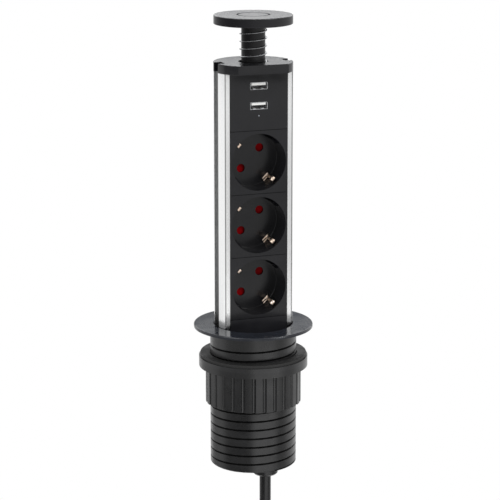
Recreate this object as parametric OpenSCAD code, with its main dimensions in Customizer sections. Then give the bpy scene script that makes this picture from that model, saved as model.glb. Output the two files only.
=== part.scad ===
// Pop up desk socket: a power tower that slides through a clamped desk collar.
// Millimetres, +Z up. The origin is on the tower's axis at the top of the desk,
// and the sockets face -Y. The tower is drawn pulled up to its stop.

/* [Desk collar] */
// Radius of the flange that lies on the desk
flange_r = 41; // [39:0.5:55]
// Thickness of the flange
flange_t = 2; // [1.8:0.1:4]
// Rounding of the flange's upper edge
flange_edge = 0.8; // [0.3:0.1:0.9]
// Free space round the tower in the bore
tower_gap = 0.6; // [0.5:0.05:1.2]
// Wall of the threaded sleeve
sleeve_wall = 2.35; // [2.2:0.05:4]
// Length of the sleeve below the top of the desk
sleeve_len = 97.5; // [85:0.5:140]
// Length of the lip that centres the flange in the sleeve
spigot_len = 4; // [2:0.5:5]
// Wall of the centring lip
spigot_t = 1; // [0.7:0.1:1.3]
// Height that one turn of the thread climbs
thread_pitch = 6.14; // [5:0.02:8]
// Depth of the thread's groove
thread_depth = 0.7; // [0.5:0.05:0.9]
// Width of the thread's groove at its mouth
thread_groove = 1.2; // [1:0.05:2]
// Plain shoulder of the sleeve above the thread
shoulder = 10; // [10:0.5:16]
// Height of the friction ring
ring_h = 3; // [2:0.5:4]
// Free space between the friction ring and the tower
ring_gap = 0.3; // [0.2:0.05:0.4]
// Length of the guide keys inside the sleeve
key_len = 58; // [40:1:70]

/* [Clamp] */
// Thickness of the desk top that is clamped
desk_t = 18.7; // [12:0.1:30]
// Thickness of the rubber gasket
gasket_t = 2; // [1:0.5:4]
// Width of the gasket's ring
gasket_w = 6.35; // [4:0.05:12]
// Thickness of the slip washer
washer_t = 3; // [1.5:0.5:5]
// Width of the slip washer's ring
washer_w = 7.45; // [5:0.05:14]
// Height of the ring nut
nut_h = 29.7; // [15:0.1:35]
// Wall of the nut's grip
nut_wall = 2.95; // [2.6:0.05:5]
// Radius of the nut's flange
nut_flange_r = 37.5; // [36:0.5:45]
// Thickness of the nut's flange
nut_flange_t = 4; // [2:0.5:6]
// Number of flutes in the grip
flutes = 28; // [16:2:36]
// Radius of a flute
flute_r = 1.4; // [0.8:0.1:1.8]
// Free space between the nut and the sleeve
thread_clear = 0.3; // [0.25:0.05:0.4]

/* [Tower] */
// Radius of the aluminium tower
tower_r = 26.8; // [26.4:0.1:28]
// Wall of the extrusion
wall = 1.2; // [1:0.1:1.4]
// Distance of the front facets from the axis
facet_d = 11; // [10.6:0.1:11.4]
// Thickness of the lips that hold the panels
lip_t = 1.5; // [1:0.1:1.8]
// Width of the guide grooves in the sides
guide_w = 8.4; // [7:0.1:9]
// Width of the line groove beside the outer edge of each facet
crease_w = 0.6; // [0.2:0.05:0.8]
// Depth of the line groove
crease_d = 0.8; // [0.4:0.1:1]
// Free space round a guide key
guide_gap = 0.3; // [0.2:0.05:0.5]
// How far the panels stand proud of the facets
panel_proud = 0.2; // [0:0.05:0.4]
// Thickness of the ears behind the lips
ear_t = 1.4; // [1:0.1:1.8]
// Gap between two panels
seam = 0.3; // [0.2:0.05:0.6]
// Height of the lowest socket panel above the desk
stack_z = 8; // [4:0.5:20]
// Thickness of the insulating liner
liner_t = 0.4; // [0.3:0.05:0.6]

/* [Cap] */
// Thickness of the top cap
cap_t = 6.2; // [5:0.1:8]
// Distance of the cap's front flat from the axis
cap_flat = 20; // [18:0.5:24]
// Rounding of the cap's rim
cap_edge = 0.4; // [0.2:0.1:1]
// Thickness of the seat under the spring
cap_seat = 1.5; // [1:0.1:2.5]
// Depth of the cap's skirt inside the tower
skirt_len = 7; // [4:0.5:9]

/* [Knob] */
// Radius of the knob's disc
disc_r = 26.6; // [20:0.1:26.8]
// Thickness of the disc
disc_t = 6; // [5:0.1:8]
// Rounding of the disc's edges
disc_edge = 0.5; // [0.2:0.1:1]
// Height of the finger gap below the disc
knob_gap = 25.3; // [22:0.1:32]
// How far the knob can be pressed
press = 10; // [6:0.5:10]
// Radius of the stem
stem_r = 8.1; // [7.6:0.1:8.4]
// Radius of the inlay in the disc
inlay_r = 10.8; // [8:0.1:14]
// Thickness of the inlay
inlay_t = 1.2; // [0.8:0.1:2]
// Width of the ring groove round the inlay
inlay_gap = 0.5; // [0.2:0.05:0.6]
// Radius of the spring's wire
wire_r = 0.45; // [0.4:0.05:0.6]
// Free space between the spring and the stem
spring_gap = 0.1; // [0.1:0.05:0.3]
// Turns of the spring
spring_turns = 5.7; // [4:0.1:7]

/* [Sockets] */
// Radius of a socket's recess
recess_r = 19.45; // [19.2:0.05:19.8]
// Depth of a recess
recess_depth = 17.5; // [15:0.1:17.6]
// Wall of a socket's cup
cup_wall = 0.95; // [0.8:0.05:1.2]
// Height of panel left between two cups
socket_rim = 2.5; // [1.5:0.1:6]
// Width of panel left beside a cup
panel_rim = 0.2; // [0.1:0.05:0.5]
// Rounding where a recess's wall meets its floor
floor_round = 0.2; // [0.2:0.1:1.5]
// Thickness of a socket's floor
floor_t = 1.6; // [1.2:0.1:2]
// Distance between the two pin holes
pin_pitch = 19; // [18:0.1:20]
// Radius of a pin hole
pin_hole_r = 2.9; // [2.5:0.05:3]
// Width of the guide ribs in the recess
rib_w = 5; // [4:0.1:6]
// Height of the guide ribs
rib_h = 1.8; // [1:0.1:2]
// Distance of the guide ribs behind the face
rib_inset = 1; // [1:0.1:4]
// Length of the ramp at the front of a guide rib
rib_lead = 5; // [2:0.5:8]
// Thickness of a shutter
shutter_t = 1.2; // [0.8:0.1:1.4]
// Width of a shutter's blades
blade_w = 7; // [6.4:0.1:7.2]
// Radius of a shutter's pivot
pivot_r = 2; // [1.5:0.1:2.4]
// Radial clearance of a pivot
pivot_clear = 0.06; // [0.02:0.01:0.1]
// Thickness of the contact metal
strip_t = 0.8; // [0.6:0.05:0.9]
// Width of an earth strap
strap_w = 4; // [3:0.1:4.2]

/* [USB] */
// Height of the charger panel
usb_h = 39; // [37:0.5:46]
// Width of a port's shell
port_w = 13.1; // [12:0.1:14]
// Height of a port's shell
port_h = 5.7; // [5:0.1:6.5]
// Sheet of a port's shell
shell_t = 0.35; // [0.25:0.05:0.5]
// Thickness of the panel's lip in front of a port's shell
port_lip = 0.6; // [0.4:0.1:1]
// Distance from the panel's upper edge to the first port
port_drop = 8.9; // [8:0.1:12]
// Distance between the two ports
port_pitch = 13.35; // [11:0.05:14]
// Depth of a port
port_depth = 13.4; // [12:0.1:13.6]
// Distance of a port's tongue behind the panel's face
tongue_inset = 0.7; // [0.5:0.1:2]
// Distance from the lower port to the indicator
led_drop = 6.7; // [5:0.1:7]
// Radius of the indicator
led_r = 0.5; // [0.5:0.1:1.2]
// Thickness of the charger's board
board_t = 1.6; // [1:0.1:1.8]

/* [Base and cord] */
// Thickness of the base plate
base_t = 3.3; // [2:0.1:5]
// Radius of the cable gland
gland_r = 8.8; // [7:0.1:9]
// Distance of the gland from the axis
gland_x = 9; // [8:0.5:10]
// Length of the gland below the base
gland_len = 11.5; // [8:0.5:14]
// Radius of the gland's shank
shank_r = 6; // [5.4:0.1:6.4]
// Radius of the mains cord
cord_r = 4; // [3.5:0.1:4.2]
// Radius of a core of the cord
core_r = 1.3; // [1:0.05:1.5]
// Radius of the plug's face
plug_r = 18.5; // [17:0.1:19]
// Length of a plug pin
plug_pin_len = 19; // [18:0.5:20]
// Radius of a plug pin
plug_pin_r = 2.4; // [2:0.1:2.5]

/* [Hidden] */
$fn = 96;
// Clearance of pieces that sit in each other
fit = 0.1;
// Overrun of a cut past the face that it opens
cut = 1;

// Rings of the bore, from the tower outwards
bore_r = tower_r + tower_gap;
sleeve_r = bore_r + sleeve_wall;
nut_bore_r = sleeve_r + thread_clear;
grip_r = nut_bore_r + nut_wall;
ring_z = spigot_len + 2;
ring_seat_r = bore_r + 0.8;
peg_r = 2;
peg_len = sleeve_wall - thread_depth - 0.5;
peg_inset = 12;
sleeve_chamfer = 0.6;
// The sleeve stands this far up into a step in the flange's underside
seat_rise = 0.5;
// The thread's groove leaves the sleeve's lower end at this angle
thread_angle = -108;
thread_steps = 24;

// Clamp, downwards from the desk
gasket_z = -desk_t;
washer_z = gasket_z - gasket_t;
nut_z = washer_z - washer_t;
nut_end = nut_z - nut_h;

// Tower section
inner_r = tower_r - wall;
cup_r = recess_r + cup_wall;
panel_half = cup_r + panel_rim;
mouth_half = panel_half + 0.15;
guide_wall_x = cup_r + 0.4;
guide_floor = guide_wall_x + wall;
crease_x = sqrt(pow(tower_r, 2) - pow(facet_d, 2)) - 0.3 - crease_w;
panel_front = -(facet_d + panel_proud);
ear_front = -facet_d + lip_t + fit;
panel_back = ear_front + ear_t;
ear_half = panel_half + 2.2;
liner_r = inner_r - fit;
liner_in = liner_r - liner_t;
liner_front = 10;

// Heights of the tower
base_z = -sleeve_len + 0.2;
profile_z = base_z + base_t;
key_z = profile_z + 10;
key_top = key_z + key_len;
socket_h = 2 * cup_r + socket_rim;
sockets_top = stack_z + 3 * socket_h;
profile_top = sockets_top + usb_h;
cap_top = profile_top + cap_t;
disc_z = cap_top + knob_gap;
disc_top = disc_z + disc_t;
function socket_z(i) = stack_z + (i + 0.5) * socket_h;

// Depths inside a socket
floor_front = panel_front + recess_depth;
floor_back = floor_front + floor_t;
shutter_gap = 0.25;
shutter_y = floor_back + shutter_gap;
carrier_y = shutter_y + shutter_t + shutter_gap;
carrier_t = 1.5;
carrier_back = carrier_y + carrier_t;
carrier_half = cup_r - 0.2;
blade_len = pin_pitch / 2 + pin_hole_r + 0.5;
pin_x = pin_pitch / 2 * sqrt(0.5);
leaf_x = pin_x + pin_hole_r;
leaf_half = 4;
bar_front = carrier_back + 0.3;
bar_back = bar_front + 5.7;
yoke_back = bar_back + 1.8 + strip_t;
prong_r = recess_r - 1.85;
prong_bow = 1.2;
slot_gap = 0.3;
earth_half = 2.5;

// Charger
port_back = panel_front + fit + port_depth;
board_back = port_back + board_t;
board_half = 17;
board_z = sockets_top + 3;
function port_z(i) = profile_top - port_drop - i * port_pitch;
led_z = port_z(1) - led_drop;
tab_z = board_z + 0.5;
tab_h = 3.5;
coil_x = leaf_x + strip_t + 0.7;
coil_h = 16;
coil_depth = 10;
can_r = 3.5;
can_x = -(coil_x + can_r);
can_len = 9;
can_gap = 2;

// Stem: a full round above, and a flat-fronted tongue that clears the board
stem_clear = 0.6;
tongue_front = board_back + stem_clear;
board_top = port_z(0) + port_h / 2 + 1;
stem_low = board_top + stem_clear;
tongue_top = stem_low + press;
clip_t = 1.6;
clip_d = 1.8;
clip_half = stem_r + 2.4;
clip_y = tongue_front + 0.5;
clip_z = profile_top - 0.3 - clip_t;
tongue_z = clip_z - 5;
stem_bore_r = stem_r + 1.5 * fit;
// The middle of each straight step of the winding still clears the stem
spring_rings = 8;
coil_r = (stem_r + spring_gap + wire_r) / cos(180 / spring_rings);
spring_bore_r = coil_r + wire_r + 0.25;
spring_z = profile_top + cap_seat;
spring_rise = disc_z - spring_z - 2 * wire_r;
screw_r = 2;
screw_head_r = 4;
screw_head_t = 2;
screw_len = 14;

// Base, terminals and gland
post_half = 4;
post_x = guide_wall_x - 2.4;
base_screw_r = 1.45;
base_screw_head_r = 2.5;
base_screw_head_t = 1.6;
base_screw_z = profile_z + 4;
gland_z = base_z - gland_len;
shank_z = profile_z + 8;
gland_nut_h = 4;
gland_nut_r = shank_r + 2.8;
gland_chamfer = 1;
sheath_z = shank_z + 10;
block_y = guide_w / 2 + wall + 0.3;
block_half = 13;
block_wing = 22;
block_wing_t = 3;
block_back = yoke_back + strip_t + 0.8;
block_drop = 32;
block_z = stack_z - block_drop;
block_h = 18;
bar_z = block_z + 10;
terminal_z = block_z + 5;
terminal_x = leaf_x + strip_t / 2;
terminal_y = bar_front + 2.5;
terminal_screw_r = 1.5;
terminal_head_r = 2.4;
terminal_head_t = 1.6;

// Cord: a straight lead, a hank of flat loops tied at its waist, and a tail
lead_end = -176;
hank_half = 60;
hank_fold = 24.5;
hank_step = 10.2;
hank_waist = 16;
hank_layer = 8.8;
hank_turns = 3.3;
hank_in = 1.5;
hank_out = 1.8;
hank_x = gland_x - hank_fold - hank_step * hank_in;
hank_z = lead_end - 2 * cord_r - hank_half;
tail_end = -336;
tie_h = 14;
tie_t = 1.2;
tie_gap = 0.3;
tie_corner = 4;
relief_len = 24;
relief_r = cord_r + 1.2;
grip_len = 22;
plug_grip_r = 11.5;
plug_face_t = 15;
plug_waist = tail_end - relief_len;
plug_shoulder = plug_waist - grip_len;
plug_face = plug_shoulder - plug_face_t;

// Ring of points round a path, for a tube or for a spring
function unit(v) = v / norm(v);
function tangent(path, i) = unit(path[min(i + 1, len(path) - 1)] - path[max(i - 1, 0)]);
function ring(p, t, side, r, n) =
  let (a = unit(side - (side * t) * t), b = cross(a, t))
  [for (k = [0:n - 1]) p + r * (cos(360 * k / n) * a + sin(360 * k / n) * b)];
function skin_faces(n, m) = concat(
  [for (i = [0:n - 2], k = [0:m - 1])
    let (a = i * m + k, b = i * m + (k + 1) % m) each [[a, b, a + m], [b, b + m, a + m]]],
  [for (k = [1:m - 2]) [0, k + 1, k]],
  [for (k = [1:m - 2]) [(n - 1) * m, (n - 1) * m + k, (n - 1) * m + k + 1]]
);

// Least free space between the turns of a wound tube
function least_gap(path, skip, d) =
  min([for (i = [0:len(path) - 1], j = [i + skip:1:len(path) - 1]) norm(path[i] - path[j])]) - d;
function path_length(path) =
  let (steps = [for (i = [1:len(path) - 1]) norm(path[i] - path[i - 1])]) steps * [for (s = steps) 1];

// Centre line of the knob's spring, at a share of its whole winding
function spring_point(share) =
  let (a = 360 * spring_turns * share)
  [coil_r * cos(a), coil_r * sin(a), spring_z + wire_r + spring_rise * share];
function spring_path(n) =
  let (first = spring_point(0), last = spring_point(1))
  concat(
    [[first[0], first[1], spring_z], [first[0], first[1], spring_z + 2 * wire_r]],
    [for (i = [1:n - 1]) spring_point(i / n)],
    [[last[0], last[1], disc_z - 2 * wire_r], [last[0], last[1], disc_z]]
  );

// Centre line of the hank. One turn is a run down, a fold, a run up and a fold.
function smooth(s) = s * s * (3 - 2 * s);
function hank_r(turn) =
  hank_fold + hank_step * (turn < hank_in ? hank_in - turn : turn > hank_out ? turn - hank_out : 0);
function hank_y(turn) =
  hank_layer * (turn < hank_in ? 0 : turn > hank_out ? 1 : smooth((turn - hank_in) / (hank_out - hank_in)));
function waist(u) = hank_waist * pow(cos(90 * u / hank_half), 2);
function hank_flat(p, r) =
  p < 0.3 ? let (u = hank_half * (1 - 2 * p / 0.3)) [r - waist(u), u]
  : p < 0.5 ? let (a = 180 * (p - 0.3) / 0.2) [r * cos(a), -hank_half - r * sin(a)]
  : p < 0.8 ? let (u = hank_half * (2 * (p - 0.5) / 0.3 - 1)) [waist(u) - r, u]
  : let (a = 180 * (p - 0.8) / 0.2) [-r * cos(a), hank_half + r * sin(a)];
function hank_point(turn) =
  let (q = hank_flat(turn - floor(turn), hank_r(turn)))
  [hank_x + q[0], hank_y(turn), hank_z + q[1]];
function hank_path(per_turn) =
  let (n = round(hank_turns * per_turn), last = hank_point(hank_turns - 0.0001))
  concat(
    [[gland_x, 0, lead_end]],
    [for (i = [0:n - 1]) hank_point(hank_turns * i / n)],
    [last, last - [0, 0, 2 * cord_r]]
  );
tail_x = hank_x + hank_r(hank_turns);
tail_start = hank_z - hank_half - 2 * cord_r;
lead_route = [for (k = [0:4]) [gland_x, 0, gland_z + (lead_end - gland_z) * k / 4]];
tail_route = [for (k = [0:2]) [tail_x, hank_layer, tail_start + (tail_end - tail_start) * k / 2]];
function core_z(share) = terminal_z + share * (sheath_z - terminal_z);
function core_route(x, y, dx, dy) = [
  [x, y, terminal_z + 1], [x, y, core_z(0.26)], [x, y - 2, core_z(0.4)],
  [(x + gland_x + dx) / 2, (y + dy) / 2, core_z(0.61)], [gland_x + dx, dy, core_z(0.82)],
  [gland_x + dx, dy, sheath_z]
];

echo(spring_least_gap_mm = least_gap(spring_path(32 * 6), 16, 2 * wire_r));
echo(hank_least_gap_mm = least_gap(hank_path(96), 30, 2 * cord_r));
echo(cord_length_mm = path_length(lead_route) + path_length(hank_path(192)) + path_length(tail_route));

// Simple shapes between two places
module slab(x, y, z) {
  translate([x[0], y[0], z[0]]) cube([x[1] - x[0], y[1] - y[0], z[1] - z[0]]);
}
module rod_z(r, z0, z1) {
  translate([0, 0, z0]) cylinder(r = r, h = z1 - z0);
}
module rod_y(r, y0, y1) {
  translate([0, y0, 0]) rotate([-90, 0, 0]) cylinder(r = r, h = y1 - y0);
}
module rod_x(r, x0, x1) {
  translate([x0, 0, 0]) rotate([0, 90, 0]) cylinder(r = r, h = x1 - x0);
}
module tube_z(r_in, r_out, z0, z1) {
  difference() {
    rod_z(r_out, z0, z1);
    rod_z(r_in, z0 - cut, z1 + cut);
  }
}
module rounded_disc(r, z0, z1, edge) {
  rotate_extrude() {
    translate([0, z0]) square([r - edge, z1 - z0]);
    translate([0, z0 + edge]) square([r, z1 - z0 - 2 * edge]);
    for (z = [z0 + edge, z1 - edge]) translate([r - edge, z]) circle(r = edge);
  }
}
module skin(rings) {
  polyhedron(points = [for (r = rings) each r], faces = skin_faces(len(rings), len(rings[0])));
}
module tube(path, r, sides) {
  skin([for (i = [0:len(path) - 1]) ring(path[i], tangent(path, i), [0, 1, 0], r, sides)]);
}
module both_sides() {
  children();
  mirror([1, 0, 0]) children();
}
// Turns the X axis onto the line through both pins, or onto the line of the earth clips
module on_pin_line() {
  rotate([0, -45, 0]) children();
}
module on_earth_line() {
  rotate([0, 45, 0]) children();
}

// Desk collar
module flange_ring() color("#20242b") rotate_extrude() {
  edge_z = flange_t - flange_edge;
  step_r = sleeve_r + fit;
  translate([bore_r, seat_rise]) square([flange_r - flange_edge - bore_r, flange_t - seat_rise]);
  translate([step_r, 0]) square([flange_r - step_r, edge_z]);
  translate([flange_r - flange_edge, edge_z]) circle(r = flange_edge);
  translate([bore_r, -spigot_len]) square([spigot_t, spigot_len + flange_t / 2]);
}

// A helical bar of trapezoid section that cuts the thread from below the sleeve to its shoulder
module thread_cutter() {
  r_in = sleeve_r - thread_depth;
  r_out = sleeve_r + thread_depth;
  half_in = thread_groove / 4;
  half_out = thread_groove * 3 / 4;
  section = [[r_in, -half_in], [r_out, -half_out], [r_out, half_out], [r_in, half_in]];
  steps = round(((sleeve_len - shoulder) / thread_pitch + 1) * thread_steps);
  skin([for (i = [0:steps])
    let (turn = i / thread_steps - 1, a = thread_angle + 360 * turn)
    [for (q = section) [q[0] * cos(a), q[0] * sin(a), -sleeve_len + thread_pitch * turn + q[1]]]]);
}
module key_pegs(r, x0, x1) {
  for (z = [key_z + peg_inset, key_top - peg_inset]) translate([0, 0, z]) rod_x(r, x0, x1);
}
module threaded_sleeve() color("#3a3a3c") difference() {
  rotate_extrude() polygon([
    [bore_r, -sleeve_len], [sleeve_r - sleeve_chamfer, -sleeve_len], [sleeve_r, sleeve_chamfer - sleeve_len],
    [sleeve_r, seat_rise], [bore_r, seat_rise]
  ]);
  rod_z(bore_r + spigot_t + fit, -spigot_len - fit, cut);
  rod_z(ring_seat_r, -ring_z - ring_h, -ring_z);
  both_sides() key_pegs(peg_r + fit / 2, bore_r - cut, bore_r + peg_len + fit / 2);
  thread_cutter();
}
module friction_ring() color("#111111")
  tube_z(tower_r + ring_gap, ring_seat_r - fit / 2, -ring_z - ring_h + fit / 2, -ring_z - fit / 2);
module guide_keys() color("#e8e4d8") both_sides() {
  half = guide_w / 2 - guide_gap;
  intersection() {
    slab([guide_floor + guide_gap, bore_r], [-half, half], [key_z, key_top]);
    rod_z(bore_r - fit / 2, key_z, key_top);
  }
  key_pegs(peg_r, bore_r - cut, bore_r + peg_len);
}

// Clamp under the desk
module desk_gasket() color("#161616")
  tube_z(nut_bore_r + fit, nut_bore_r + fit + gasket_w, washer_z, gasket_z);
module slip_washer() color("#d8d4c8") tube_z(nut_bore_r, nut_bore_r + washer_w, nut_z, washer_z);
module clamp_nut() color("#2a2a2c") difference() {
  union() {
    translate([0, 0, nut_end]) linear_extrude(nut_h - nut_flange_t / 2) difference() {
      circle(r = grip_r);
      for (i = [0:flutes - 1]) rotate((i + 0.5) * 360 / flutes) translate([grip_r + flute_r / 4, 0])
        circle(r = flute_r);
    }
    rod_z(nut_flange_r, nut_z - nut_flange_t, nut_z);
  }
  rod_z(nut_bore_r, nut_end - cut, nut_z + cut);
}

// Tower section and the pieces that close it
module tower_outline() intersection() {
  circle(r = tower_r);
  translate([-tower_r, -facet_d]) square([2 * tower_r, tower_r + facet_d]);
}
module guide_box(x, half) {
  both_sides() translate([x, -half]) square([tower_r - x + cut, 2 * half]);
}
module tower_profile() color("#d9dadb") difference() {
  translate([0, 0, profile_z]) linear_extrude(profile_top - profile_z) difference() {
    tower_outline();
    difference() {
      intersection() {
        circle(r = inner_r);
        translate([-tower_r, -facet_d + lip_t]) square(2 * tower_r);
      }
      guide_box(guide_wall_x, guide_w / 2 + wall);
    }
    guide_box(guide_floor, guide_w / 2);
    translate([-mouth_half, -facet_d - cut]) square([2 * mouth_half, lip_t + 2 * cut]);
    both_sides() translate([crease_x, -facet_d - cut]) square([crease_w, crease_d + cut]);
  }
  both_sides() translate([0, 0, base_screw_z]) rod_x(base_screw_r + fit, post_x, tower_r);
}
module rear_liner() color("#efe7d0") intersection() {
  tube_z(liner_in, liner_r, stack_z, sockets_top);
  slab([-tower_r, tower_r], [liner_front, tower_r], [stack_z, sockets_top]);
}
module panel(z0, z1) {
  translate([0, 0, z0]) linear_extrude(z1 - z0) {
    translate([-panel_half, panel_front]) square([2 * panel_half, panel_back - panel_front]);
    translate([-ear_half, ear_front]) square([2 * ear_half, ear_t]);
  }
}
module lower_panel() color("#323335") panel(profile_z + fit, stack_z - seam / 2);

// Cap with its notches over the guide grooves, the spring's seat and a skirt
module tower_cap() color("#353537") {
  difference() {
    rounded_disc(tower_r, profile_top, cap_top, cap_edge);
    slab([-tower_r, tower_r], [-tower_r, -cap_flat], [profile_top - cut, cap_top + cut]);
    translate([0, 0, profile_top - cut]) linear_extrude(cap_t + 2 * cut)
      guide_box(guide_floor - wall / 2, guide_w / 2);
    rod_z(spring_bore_r, spring_z, cap_top + cut);
    rod_z(stem_bore_r, profile_top - cut, spring_z + cut);
  }
  intersection() {
    tube_z(inner_r - 1.6, inner_r - fit, profile_top - skirt_len, profile_top + cap_t / 2);
    slab([-tower_r, tower_r], [liner_front, tower_r], [profile_top - skirt_len, cap_top]);
  }
}

// Charger with two ports
module at_ports() {
  for (i = [0, 1]) translate([0, 0, port_z(i)]) children();
}
module port_window(y) {
  slab([shell_t - port_w / 2, port_w / 2 - shell_t], y, [shell_t - port_h / 2, port_h / 2 - shell_t]);
}
module usb_faceplate() color("#323335") difference() {
  panel(sockets_top + seam / 2, profile_top - fit);
  at_ports() {
    port_window([panel_front - cut, panel_back]);
    slab(
      [-port_w / 2 - fit, port_w / 2 + fit], [panel_front + port_lip, panel_back + cut],
      [-port_h / 2 - fit, port_h / 2 + fit]
    );
  }
  translate([0, 0, led_z]) rod_y(led_r + fit / 2, panel_front - cut, panel_back + cut);
  rod_z(stem_r + stem_clear, stem_low, profile_top + cut);
}
module usb_shells() color("#c9cbcd") at_ports() difference() {
  slab([-port_w / 2, port_w / 2], [panel_front + port_lip + fit, port_back], [-port_h / 2, port_h / 2]);
  port_window([panel_front - cut, port_back - shell_t]);
}
tongue_low = port_h * 0.06;
tongue_high = port_h * 0.38;
module usb_tongues() color("#f2f2ee") at_ports() slab(
  [-port_w * 0.42, port_w * 0.42], [panel_front + tongue_inset, port_back - shell_t],
  [tongue_low, tongue_high]
);
module usb_contacts() color("#d8b45a") at_ports() for (x = [-0.27, -0.09, 0.09, 0.27] * port_w) slab(
  [x - 0.5, x + 0.5], [panel_front + tongue_inset + 1.2, port_back - shell_t],
  [tongue_low - 0.15, tongue_low]
);
module status_led() color("#cfe6ff") translate([0, 0, led_z]) rod_y(led_r, panel_front, port_back);
module charger_board() color("#1f5c38")
  slab([-board_half, board_half], [port_back, board_back], [board_z, board_top]);
module charger_transformer() color("#c9a227")
  slab([coil_x, coil_x + 8], [board_back, board_back + coil_depth], [board_z + 1, board_z + 1 + coil_h]);
module charger_capacitors() color("#3b3f8f") for (i = [0, 1]) {
  can_z = board_z + can_r + can_gap + i * (2 * can_r + can_gap);
  translate([can_x, 0, can_z]) rod_y(can_r, board_back, board_back + can_len);
}

// Holes for the pins and slots for the earth clips, through a wall between two depths
module pin_holes(y0, y1) {
  on_pin_line() both_sides() translate([pin_pitch / 2, 0, 0]) rod_y(pin_hole_r, y0 - cut, y1 + cut);
}
module clip_slots(y0, y1) {
  half = strap_w / 2 + slot_gap;
  on_earth_line() both_sides()
    slab([prong_r - strip_t - slot_gap, prong_r + slot_gap], [y0 - cut, y1 + cut], [-half, half]);
}

// Round hollow that takes a plug, with a rounded corner at its floor
module recess() translate([0, floor_front, 0]) rotate([90, 0, 0]) rotate_extrude() {
  square([recess_r - floor_round, recess_depth + cut]);
  translate([0, floor_round]) square([recess_r, recess_depth + cut - floor_round]);
  translate([recess_r - floor_round, floor_round]) circle(r = floor_round);
}

// Guide rib on a recess's wall, with a ramp that leads the plug in
module guide_rib() {
  front = panel_front + rib_inset;
  back = floor_front + floor_t / 2;
  high = recess_r - rib_h;
  translate([0, 0, -rib_w / 2]) linear_extrude(rib_w)
    polygon([[cup_r, front], [recess_r, front], [high, front + rib_lead], [high, back], [cup_r, back]]);
}

// One round socket: panel, cup with guide ribs, pin holes and slots for the earth clips
module socket_face(i) color("#323335") difference() {
  union() {
    difference() {
      union() {
        panel(socket_z(i) - (socket_h - seam) / 2, socket_z(i) + (socket_h - seam) / 2);
        translate([0, 0, socket_z(i)]) rod_y(cup_r, panel_front + ear_t, floor_back);
      }
      translate([0, 0, socket_z(i)]) recess();
    }
    translate([0, 0, socket_z(i)]) on_pin_line() both_sides() intersection() {
      guide_rib();
      rod_y(cup_r - cup_wall / 2, panel_front, floor_back);
    }
  }
  translate([0, 0, socket_z(i)]) {
    pin_holes(floor_front, floor_back);
    clip_slots(floor_front, floor_back);
  }
}
module socket_face_top() socket_face(2);
module socket_face_middle() socket_face(1);
module socket_face_bottom() socket_face(0);

// Two-bladed shutter that closes both pin holes and turns on the carrier's post
module shutter(i) color("#a01018") translate([0, 0, socket_z(i)]) difference() {
  union() {
    rod_y(pivot_r + 2.2, shutter_y, shutter_y + shutter_t);
    intersection() {
      rod_y(blade_len, shutter_y, shutter_y + shutter_t);
      on_pin_line() slab(
        [-blade_len, blade_len], [shutter_y - cut, shutter_y + shutter_t + cut], [-blade_w / 2, blade_w / 2]
      );
    }
  }
  rod_y(pivot_r + pivot_clear, shutter_y - cut, shutter_y + shutter_t + cut);
}
module shutter_top() shutter(2);
module shutter_middle() shutter(1);
module shutter_bottom() shutter(0);

// Insulating carrier behind a socket, with the shutter's post and the busbar walls
module contact_carrier(i) color("#e9e6dd") translate([0, 0, socket_z(i)]) {
  half_h = (socket_h - seam) / 2;
  rib_x = carrier_half - 5;
  difference() {
    union() {
      slab([-carrier_half, carrier_half], [carrier_y, carrier_back], [-half_h, half_h]);
      difference() {
        rod_y(cup_r - fit, floor_back, carrier_back);
        rod_y(cup_r - 1.4, floor_back - cut, carrier_back + cut);
      }
    }
    pin_holes(carrier_y, carrier_back);
    clip_slots(carrier_y, carrier_back);
  }
  rod_y(pivot_r, floor_back, carrier_back);
  for (turn = [0, 180]) rotate([0, turn, 0])
    slab([leaf_x + strip_t + 2 * fit, leaf_x + strip_t + 2], [carrier_y, bar_back], [-6, half_h - 3]);
  rib_back = sqrt(liner_in * liner_in - pow(rib_x + 2, 2)) - 0.3;
  both_sides() slab([rib_x, rib_x + 2], [carrier_y, rib_back], [-half_h + 6, half_h - 6]);
}
module contact_carrier_top() contact_carrier(2);
module contact_carrier_middle() contact_carrier(1);
module contact_carrier_bottom() contact_carrier(0);

// Earth strap: two sprung prongs in the recess, joined by a yoke behind the carrier
module earth_strap(i) color("#b88a4a") translate([0, 0, socket_z(i)]) on_earth_line() {
  bow_r = prong_r - prong_bow;
  bow_y = (panel_front + floor_front) / 2;
  prong = [
    [recess_r - 0.5, panel_front + 2.4], [bow_r, bow_y - 1], [bow_r, bow_y + 1], [prong_r, floor_front - 1],
    [prong_r, yoke_back]
  ];
  inner = [for (p = prong) [p[0] - strip_t, min(p[1], yoke_back - strip_t)]];
  left = [for (k = [len(prong) - 1:-1:0]) [-prong[k][0], prong[k][1]]];
  left_inner = [for (p = inner) [-p[0], p[1]]];
  right_inner = [for (k = [len(inner) - 1:-1:0]) inner[k]];
  translate([0, 0, -strap_w / 2]) linear_extrude(strap_w)
    polygon(concat(prong, left, left_inner, right_inner));
}
module earth_strap_top() earth_strap(2);
module earth_strap_middle() earth_strap(1);
module earth_strap_bottom() earth_strap(0);

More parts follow.
